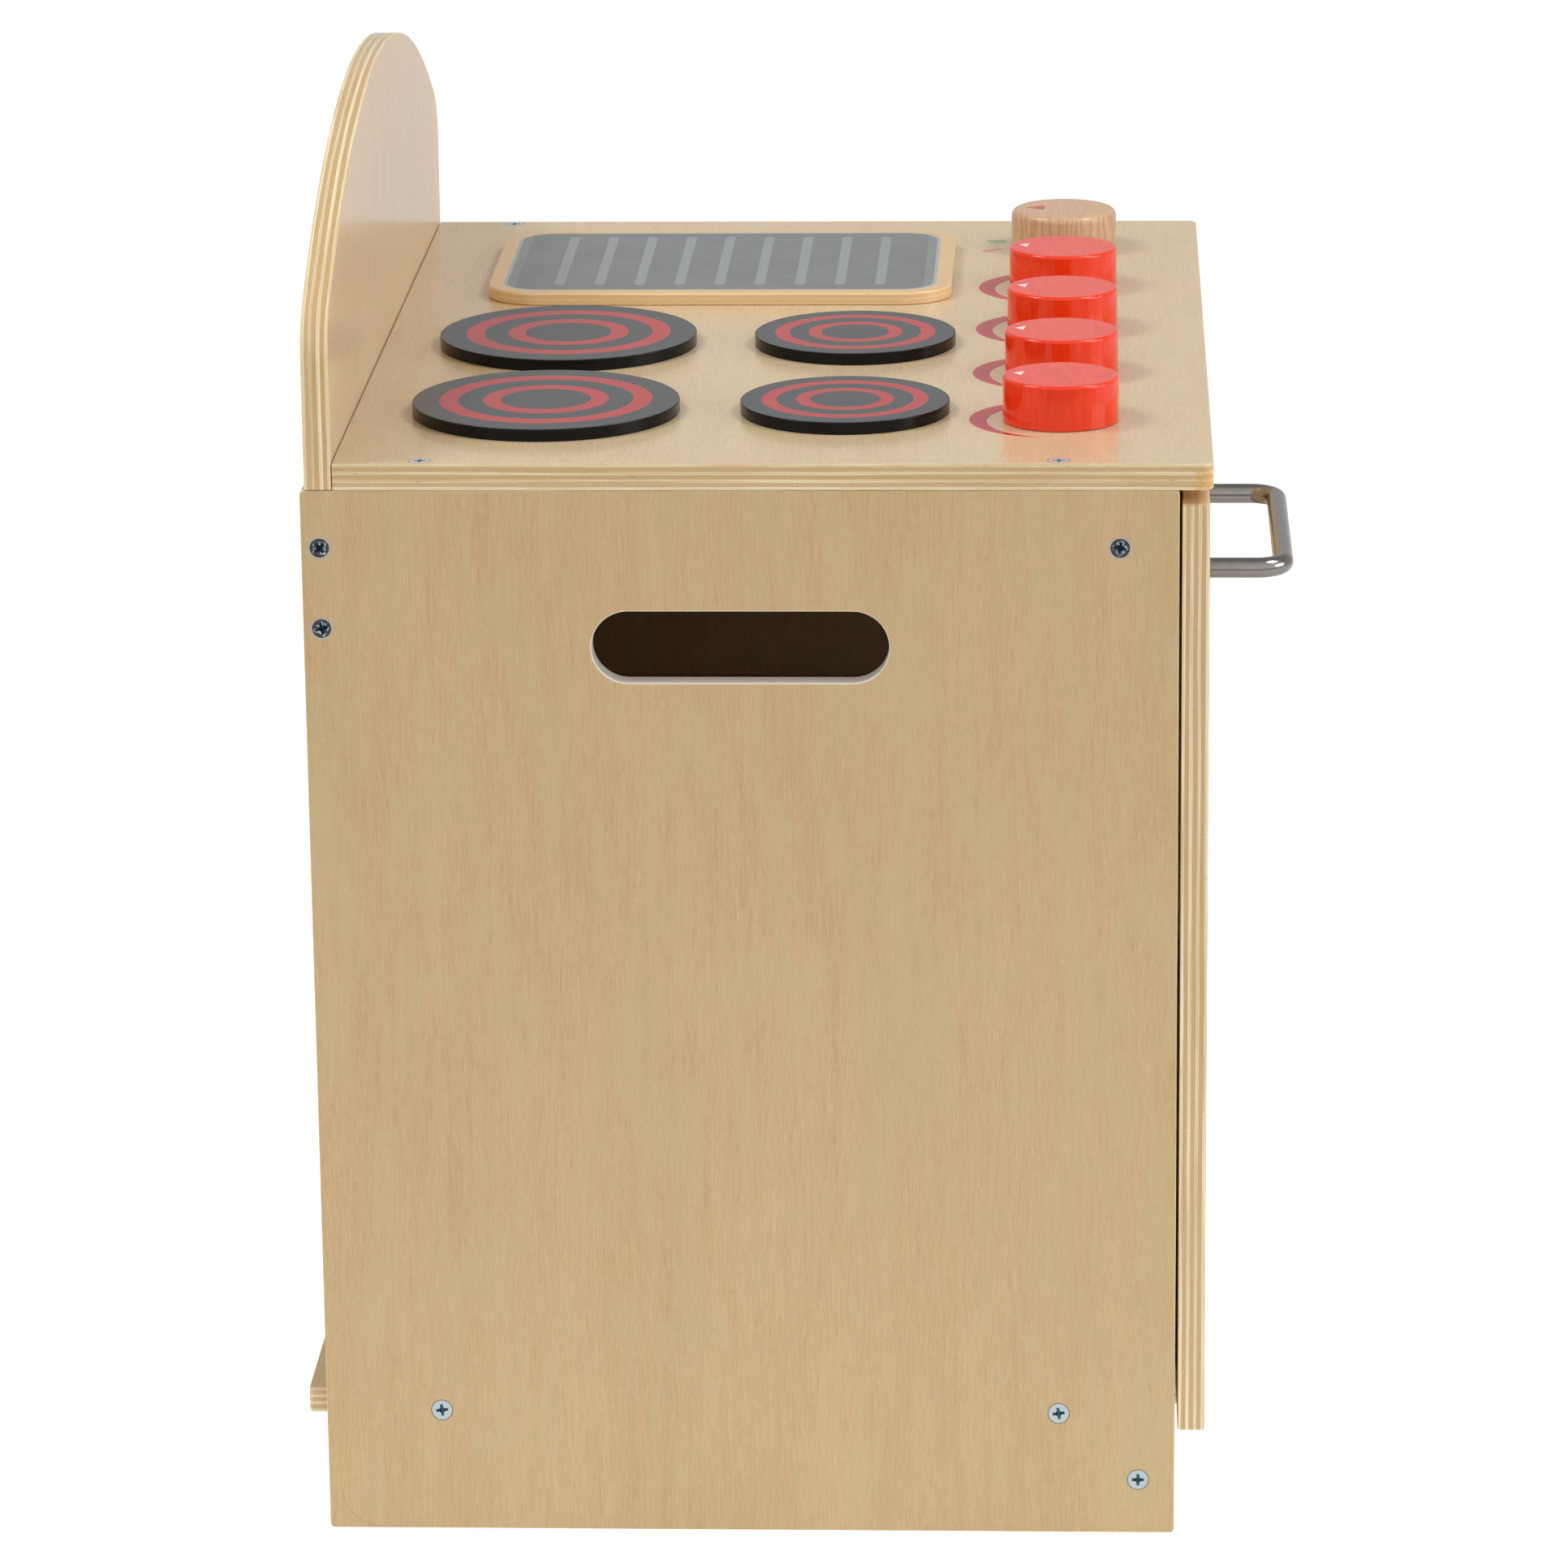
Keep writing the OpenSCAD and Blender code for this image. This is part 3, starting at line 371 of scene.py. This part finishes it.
def countertop():
    """Plywood with prints behind the knobs, and glue that ran down its near front corner."""
    top = Plywood("countertop_plywood", "countertop", Z, X, 7, 517.0, COUNTER_WOOD, **LACQUER)
    x, y, z = top.axes
    for middle in BURNER_KNOBS.values():
        disc, cut = (top.disc(x, y, middle + Vector(place), radius)
                     for place, radius in (CRESCENT_DISC, CRESCENT_CUT))
        top.lay_on_top(top.both(disc, top.math("SUBTRACT", 1.0, cut)), PRINT_RED)
    for dash, share, colour in ((GREEN_DASH, 0.80, PRINT_GREEN), (RED_DASH, 0.75, FAINT_RED)):
        start, end, start_r, end_r = dash
        stroke = top.dash(x, y, OVEN_KNOB + Vector(start), OVEN_KNOB + Vector(end), start_r, end_r)
        top.lay_on_top(top.both(stroke, share), colour)
    at = box_mm("countertop")[0] + STAIN_PLACE
    stain = top.both(top.disc(x, y, at.to_2d(), STAIN_RADIUS, 1.6),
                     top.fade(z, at.z + STAIN_TOP, at.z + STAIN_TOP + 2))
    blots = top.grain((2.5, 2.5, 2.5), 541.0, detail=2.0, low=0.25, high=0.6)
    on_edge = top.math("MULTIPLY_ADD", top.face, -0.75, 0.75)
    top.lay(top.both(top.both(stain, blots), on_edge), GLUE_STAIN)
    top.finish()


countertop()

# Each ring's inner and outer edge, as shares of the burner plate's radius
BURNER_RINGS = ((0.655, 0.797), (0.337, 0.470))


def burner(node, seed, fleck=None):
    """Black lacquer over plywood, with two red rings. A fleck, placed from the middle, is bare."""
    plate = Plywood(node + "_lacquer", node, Z, X, 5, seed, BLACK_WOOD, **BLACK_GLOSS)
    low, high = box_mm(node)
    middle, radius = ((low + high)/2).to_2d(), (high.x - low.x)/2
    x, y = plate.axes[:2]
    for inner, outer in BURNER_RINGS:
        plate.lay_on_top(plate.ring(x, y, middle, inner*radius, outer*radius), RING_RED)
    if fleck:
        plate.lay(plate.disc(x, y, middle + Vector(fleck), 0.9, 0.5), BLACK_LACQUER)
    plate.finish(0.006)


burner("burner_rear_left", 601.0, fleck=(32.7, -30.5))
burner("burner_rear_middle", 607.0)
burner("burner_front_left", 613.0)
burner("burner_front_middle", 619.0)

# The griddle's print: how far in from the plate's outline its border line and its grey field
# start, how far in from the plate's ends a lighter band reaches, and the bars of the field
GRIDDLE_CORNER = 25.0
BORDER_IN, FIELD_IN, BAND_IN = 7.1, 8.7, 13.5
BAR_COUNT, BAR_PITCH, BAR_HALF, BAR_RADIUS, BAR_ASIDE = 9, 19.2, 54.5, 2.4, 1.2


def griddle():
    """A grey print with lighter bars inside a wooden rim."""
    plate = Plywood("griddle_plywood", "griddle_plate", Z, Y, 5, 701.0, GRIDDLE_WOOD, **LACQUER)
    low, high = box_mm("griddle_plate")
    middle, half = (low + high)/2, (high - low)/2
    x, y = plate.axes[:2]
    from_x, from_y = plate.math("SUBTRACT", x, middle.x), plate.math("SUBTRACT", y, middle.y)
    past_x = plate.math("SUBTRACT", plate.absolute(from_x), half.x - GRIDDLE_CORNER)
    past_y = plate.math("SUBTRACT", plate.absolute(from_y), half.y - GRIDDLE_CORNER)
    outside = plate.vector("LENGTH", plate.join(plate.math("MAXIMUM", past_x, 0.0),
                                                plate.math("MAXIMUM", past_y, 0.0)))
    inside = plate.math("MINIMUM", plate.math("MAXIMUM", past_x, past_y), 0.0)
    past_outline = plate.math("SUBTRACT", plate.math("ADD", outside, inside), GRIDDLE_CORNER)
    field = plate.fade(past_outline, -FIELD_IN - 0.3, -FIELD_IN)
    cloud = plate.grain((28.0, 28.0, 28.0), 711.0, detail=4.0)
    plate.lay_on_top(plate.fade(past_outline, -BORDER_IN - 0.3, -BORDER_IN), GRIDDLE_LINE)
    plate.lay_on_top(field, plate.mix(cloud, GRIDDLE_GREY, GRIDDLE_CLOUD))
    band = plate.fade(plate.absolute(from_y), half.y - BAND_IN + 0.3, half.y - BAND_IN)
    plate.lay_on_top(plate.both(field, plate.both(band, 0.45)), GRIDDLE_BAR)
    step = plate.math("WRAP", from_y, BAR_PITCH/2, -BAR_PITCH/2)
    left, right = middle.x + BAR_ASIDE - BAR_HALF, middle.x + BAR_ASIDE + BAR_HALF
    bar = plate.dash(x, step, (left, 0.0), (right, 0.0), BAR_RADIUS, BAR_RADIUS)
    last = (BAR_COUNT/2)*BAR_PITCH
    plate.lay_on_top(plate.both(bar, plate.fade(plate.absolute(from_y), last - 2, last)), GRIDDLE_BAR)
    plate.finish(0.006)


griddle()


def pointer(finish, middle, tip, foot, half, degrees):
    """A triangle on a knob's top. Its tip and foot lie this far from the knob's middle."""
    x, y = finish.axes[:2]
    turn = Matrix.Rotation(math.radians(degrees), 2)
    ahead, aside = turn @ Vector((0, 1)), turn @ Vector((1, 0))
    away = finish.vector("SUBTRACT", finish.join(x, y), (*middle, 0.0))
    forth = finish.vector("DOT_PRODUCT", away, (*ahead, 0.0))
    side = finish.absolute(finish.vector("DOT_PRODUCT", away, (*aside, 0.0)))
    room = finish.both(finish.math("SUBTRACT", tip, forth), half/(tip - foot))
    inside = finish.fade(finish.math("SUBTRACT", side, room), -0.1, 0.1)
    started = finish.fade(forth, foot + 0.1, foot - 0.1)
    return finish.both(finish.facing(Z), finish.both(inside, started))


def red_knob(node, middle, seed):
    finish = Finish(node + "_lacquer", Roughness=0.09, IOR=1.5)
    shade = finish.grain((16.0, 2.6, 24.0), seed, wave=0.6)
    skin = finish.grain((1.6, 1.6, 1.6), seed + 3, detail=2.0)
    mark = pointer(finish, middle, tip=21.3, foot=17.0, half=4.1, degrees=-9.5)
    colour = finish.mix(shade, KNOB_RED, DEEP_RED)
    finish.set(Base_Color=finish.mix(mark, colour, PRINT_WHITE))
    finish.bump(skin, 0.012)
    wear(node, finish.material)


for number, (node, middle) in enumerate(BURNER_KNOBS.items()):
    red_knob(node, middle, 40.0 + 7*number)


def wood_knob():
    """Turned with the growth rings upright, so the side shows stripes and the top long lines."""
    finish = Finish("knob_wood", Roughness=0.30, IOR=1.5)
    y, z = finish.axes[1:]
    bend = finish.grain((50.0, 9.0, 34.0), 71.0, detail=1.0)
    across = finish.total((z, 0.08), (y, 1.0), (bend, 5.0))
    rings = finish.fade(finish.math("SINE", finish.both(across, 2.1)), 0.85, -0.5)
    fine = finish.grain((14.0, 0.6, 12.0), 83.0)
    pores = finish.grain((3.5, 0.5, 3.0), 97.0, detail=1.0, low=0.58, high=0.74)
    wall = finish.fade(finish.absolute(finish.split(finish.normal)[Z]), 0.55, 0.9)
    ring_share = finish.math("MULTIPLY_ADD", wall, 0.24, 0.08)
    tone = finish.math("MULTIPLY_ADD", fine, 0.30, finish.both(rings, ring_share))
    colour = finish.mix(tone, KNOB_WOOD, KNOB_WOOD_RING)
    colour = finish.mix(finish.both(pores, 0.4), colour, KNOB_WOOD_PORE)
    mark = pointer(finish, OVEN_KNOB, tip=19.1, foot=9.5, half=5.5, degrees=-3)
    finish.set(Base_Color=finish.mix(finish.both(mark, 0.85), colour, PRINT_RED))
    finish.bump(finish.math("SUBTRACT", 1.0, pores), 0.02)
    wear("oven_knob", finish.material)


wood_knob()


def brushed(name, metallic, roughness, lengths, seed):
    """Metal with brush marks of these lengths, still without its colour."""
    finish = Finish(name, Metallic=metallic)
    lines = finish.grain(lengths, seed)
    finish.set(Roughness=finish.math("MULTIPLY_ADD", lines, 0.14, roughness))
    finish.bump(lines, 0.004)
    return finish


def metal(name, colour, roughness, lengths, seed):
    """Brushed metal of one colour, with faint darker clouds."""
    finish = brushed(name, 1.0, roughness, lengths, seed)
    cloud = finish.grain((9.0, 9.0, 9.0), seed + 5, detail=2.0)
    dark = tuple(0.82*part for part in colour)
    finish.set(Base_Color=finish.mix(finish.both(cloud, 0.6), colour, dark))
    return finish.material


wear("door_handle", metal("satin_steel", SATIN_STEEL, 0.10, (26.0, 0.35, 0.35), 131.0))


def screw_middles(node, across, along):
    """The middle of each screw of a node, seen along its length, and the radius of a head."""
    heaps = []
    for vertex in nodes[node].data.vertices:
        point = Vector((vertex.co[across], vertex.co[along])) * MM
        for heap in heaps:
            if (point - heap[0]).length < 12:
                heap.append(point)
                break
        else:
            heaps.append([point])
    ends = [[(min(p[i] for p in heap), max(p[i] for p in heap)) for i in (0, 1)] for heap in heaps]
    middles = [Vector([(low + high)/2 for low, high in end]) for end in ends]
    middles.sort(key=lambda middle: (-round(middle.y/5), -middle.x))
    return middles, max(high - low for end in ends for low, high in end)/2


def from_screws(finish, middles, turns, across, along):
    """The place on the nearest screw's head, from its middle and turned as its cross is."""
    at = finish.join(finish.axes[across], finish.axes[along])
    away = finish.join(0.0, 0.0)
    for middle, turn in zip(middles, turns):
        offset = finish.vector("SUBTRACT", at, (*middle, 0.0))
        near = finish.fade(finish.vector("LENGTH", offset), 7.0, 7.5)
        sine, cosine = math.sin(math.radians(turn)), math.cos(math.radians(turn))
        turned = finish.join(finish.vector("DOT_PRODUCT", offset, (cosine, -sine, 0.0)),
                             finish.vector("DOT_PRODUCT", offset, (sine, cosine, 0.0)))
        away = finish.vector("ADD", away, finish.vector("SCALE", turned, scale=near))
    return away


def screw_heads(name, node, across, along, seed, turns, dark_above=None, metallic=1.0):
    """Zinc heads with a dark cross, painted shade of the recess, turned by these degrees from the highest
    screw down, and a ring of painted shade at the edge.
    Those above a height carry a painted chrome reflection: darker, with a bright rim highlight and white
    glints."""
    finish = brushed(name, metallic, 0.22, (0.5, 0.5, 0.5), seed)
    middles, radius = screw_middles(node, across, along)
    away = from_screws(finish, middles, turns, across, along)
    far = finish.vector("LENGTH", away)
    a, b = (finish.absolute(part) for part in finish.split(away)[:2])
    # The dark cross over the recess and its core is painted shade.
    arm, reach, soft = 0.13*radius, 0.53*radius, 0.12
    bars = [finish.both(finish.fade(thin, arm - soft, arm + soft),
                        finish.fade(long, reach - soft, reach + soft)) for thin, long in ((a, b), (b, a))]
    spread = finish.math("ADD", a, b)
    core = finish.fade(spread, 0.36*radius, 0.42*radius)
    cross = finish.math("MAXIMUM", core, finish.math("MAXIMUM", *bars))
    # The dark ring at the head's edge is painted shade.
    colour = finish.mix(finish.fade(far, 0.96*radius, 0.90*radius), PALE_ZINC, PALE_ZINC_EDGE_SHADE)
    colour = finish.mix(cross, colour, PALE_ZINC_CROSS_SHADE)
    # Upper heads: a painted chrome reflection, darker with a painted bright rim highlight and white
    # painted glints.
    if dark_above is not None:
        glint_patches = finish.grain((1.1, 1.1, 1.1), seed + 7, detail=2.0, low=0.45, high=0.6)
        glint = finish.both(glint_patches, finish.both(finish.fade(spread, 0.78*radius, 0.85*radius),
                                              finish.fade(spread, 0.34*radius, 0.30*radius)))
        dark = finish.mix(glint, DARK_ZINC_PAINTED_REFLECTION, PAINTED_ZINC_GLINT)
        dark = finish.mix(finish.fade(far, 0.88*radius, 0.84*radius), dark, PAINTED_ZINC_RIM_HIGHLIGHT)
        dark = finish.mix(cross, dark, DARK_ZINC_CROSS_SHADE)
        high_up = finish.fade(finish.axes[Z], dark_above + 1, dark_above - 1)
        colour = finish.mix(high_up, colour, dark)
    finish.set(Base_Color=colour)
    wear(node, finish.material)


# The two upper rear screws and the upper front one, then the lower ones
screw_heads("side_screw_zinc", "side_screws", Y, Z, 149.0, (42, -12, 15, 7, 8, 0), dark_above=310.0)
screw_heads("counter_screw_zinc", "counter_screws", X, Y, 153.0, (0, 0, 0, 0), metallic=0.35)

zinc = metal("bright_zinc", BRIGHT_ZINC, 0.26, (0.5, 0.5, 0.5), 141.0)
for node in ("shelf_pins", "pane_screws", "handle_screws", "hinge_base_screws",
             "hinge_flap_screws", "catch_screws", "strike_plate", "strike_screw", "oven_knob_screw",
             *(f"burner_knob_screw_{number}" for number in range(1, 5))):
    wear(node, zinc)

nickel = metal("nickel_plate", NICKEL, 0.20, (18.0, 0.4, 0.4), 157.0)
for side in ("left", "right"):
    for part in ("base", "flap", "pin"):
        wear(f"{side}_hinge_{part}", nickel)


def moulded(name, colour, roughness, seed):
    """Moulded plastic or magnet, with faint clouds and a gritty skin."""
    finish = Finish(name, Roughness=roughness, IOR=1.48)
    cloud = finish.grain((6.0, 6.0, 6.0), seed)
    grit = finish.grain((0.25, 0.25, 0.25), seed + 3, detail=1.0)
    dark = tuple(0.88*part for part in colour)
    finish.set(Base_Color=finish.mix(cloud, colour, dark))
    finish.bump(grit, 0.01)
    return finish.material


white_plastic = moulded("white_plastic", WHITE_PLASTIC, 0.42, 163.0)
wear("catch_housing", white_plastic)
wear("knob_washers", white_plastic)
wear("catch_magnet", moulded("dark_magnet", DARK_MAGNET, 0.5, 173.0))


def beech_dowels():
    finish = Finish("beech_dowel", Roughness=0.62, IOR=1.5)
    lines = finish.grain((22.0, 0.6, 0.6), 181.0)
    finish.set(Base_Color=finish.mix(lines, BEECH, DARK_BEECH))
    finish.bump(lines, 0.05)
    wear("locating_dowels", finish.material)


beech_dowels()


def clear_pane():
    finish = Finish("clear_acrylic", Roughness=0.03, IOR=1.49, Transmission_Weight=1.0)
    haze = finish.grain((1.5, 1.5, 60.0), 191.0, detail=2.0, low=0.5, high=0.8)
    finish.set(Base_Color=finish.mix(haze, CLEAR_PANE, HAZY_PANE))
    finish.bump(haze, 0.0006)
    wear("door_pane", finish.material)


clear_pane()

# The floor gives light of its own, less of it beyond the near side of the toy oven. The
# photograph's background was cleared to white, but its reflections show a light grey one.
FLOOR_RADIUS = 30.0
FLOOR_GLOW, NEAR_GLOW, MIRRORED_GLOW = 0.34, 0.40, -0.42
GLOW_FULL, GLOW_GONE = -700.0, -1500.0


def floor():
    mesh = bmesh.new()
    bmesh.ops.create_circle(mesh, cap_ends=True, segments=96, radius=FLOOR_RADIUS)
    data = bpy.data.meshes.new("floor")
    mesh.to_mesh(data)
    mesh.free()
    made = bpy.data.objects.new("floor", data)
    bpy.context.scene.collection.objects.link(made)
    paint = Finish("floor_paint", Roughness=0.9, Specular_IOR_Level=0.0, Emission_Color=WHITE)
    near = paint.fade(paint.axes[X], GLOW_FULL, GLOW_GONE)
    glow = paint.math("MULTIPLY_ADD", near, NEAR_GLOW, FLOOR_GLOW)
    mirrored = paint.node("LightPath").outputs["Is Glossy Ray"]
    paint.set(Emission_Strength=paint.math("MULTIPLY_ADD", mirrored, MIRRORED_GLOW, glow))
    cloud = paint.grain((900.0, 900.0, 900.0), 7.0, detail=2.0)
    paint.set(Base_Color=paint.mix(cloud, FLOOR_WHITE, FLOOR_CLOUD))
    data.materials.append(paint.material)


floor()


def softbox(name, place, aim, width, height, watts):
    light = bpy.data.lights.new(name, "AREA")
    light.shape = "RECTANGLE"
    light.size, light.size_y, light.energy = width, height, watts
    made = bpy.data.objects.new(name, light)
    bpy.context.scene.collection.objects.link(made)
    made.location = place
    made.rotation_euler = (Vector(aim) - Vector(place)).to_track_quat("-Z", "Y").to_euler()


softbox("softbox_rear", place=(-0.25, 1.35, 2.35), aim=(0, 0, 0.35), width=0.75, height=0.75, watts=20.0)
softbox("softbox_front", place=(-0.25, -1.45, 2.35), aim=(0, 0, 0.35), width=0.75, height=0.75, watts=20.0)
softbox("softbox_low", place=(-0.5, -2.4, 1.0), aim=(0, 0, 0.4), width=1.3, height=1.0, watts=12.0)

# The room's light everywhere, and its gains: the axis, where the gain starts, where it is full,
# and how much it adds
ROOM_LIGHT = 0.33
ROOM_GAINS = ((X, 0.2, -0.7, 0.48), (Z, 0.75, 0.25, 0.18))


def studio():
    """A pale room, brightest on the near side and dimmer overhead."""
    world = bpy.data.worlds.new("studio")
    bpy.context.scene.world = world
    world.use_nodes = True
    tree = world.node_tree
    background = tree.nodes["Background"]
    place = tree.nodes.new("ShaderNodeTexCoord")
    parts = tree.nodes.new("ShaderNodeSeparateXYZ")
    tree.links.new(place.outputs["Generated"], parts.inputs[0])
    strength = tree.nodes.new("ShaderNodeValue").outputs[0]
    strength.default_value = ROOM_LIGHT
    for axis, start, full, gain in ROOM_GAINS:
        ramp = tree.nodes.new("ShaderNodeMapRange")
        ramp.interpolation_type = "SMOOTHSTEP"
        tree.links.new(parts.outputs[axis], ramp.inputs[0])
        for number, value in enumerate((start, full, 0.0, gain), start=1):
            ramp.inputs[number].default_value = value
        total = tree.nodes.new("ShaderNodeMath")
        tree.links.new(ramp.outputs[0], total.inputs[0])
        tree.links.new(strength, total.inputs[1])
        strength = total.outputs[0]
    background.inputs["Color"].default_value = (*WHITE, 1)
    tree.links.new(strength, background.inputs["Strength"])


studio()

# The camera stands where the photograph's did: metres, radians, and pixels of its width
PHOTO_WIDTH = 1932
EYE = Vector((-3.1505, -0.1272, 1.1831))
YAW, PITCH, ROLL = 0.0456, 0.2807, -0.0109
FOCAL_PIXELS = 8503.8
SENSOR_WIDTH = 36.0


def camera():
    lens = bpy.data.cameras.new("camera")
    lens.sensor_fit = "HORIZONTAL"
    lens.sensor_width = SENSOR_WIDTH
    lens.lens = SENSOR_WIDTH*FOCAL_PIXELS/PHOTO_WIDTH
    lens.clip_start, lens.clip_end = 0.05, 200.0
    made = bpy.data.objects.new("camera", lens)
    bpy.context.scene.collection.objects.link(made)
    ahead = Vector((math.cos(PITCH)*math.cos(YAW), math.cos(PITCH)*math.sin(YAW), -math.sin(PITCH)))
    right = ahead.cross(Vector((0, 0, 1))).normalized()
    up = right.cross(ahead)
    level = Matrix((right, up, -ahead)).transposed().to_4x4()
    made.matrix_world = Matrix.Translation(EYE) @ level @ Matrix.Rotation(ROLL, 4, "Z")
    bpy.context.scene.camera = made


camera()
bpy.context.scene.view_settings.view_transform = "Standard"
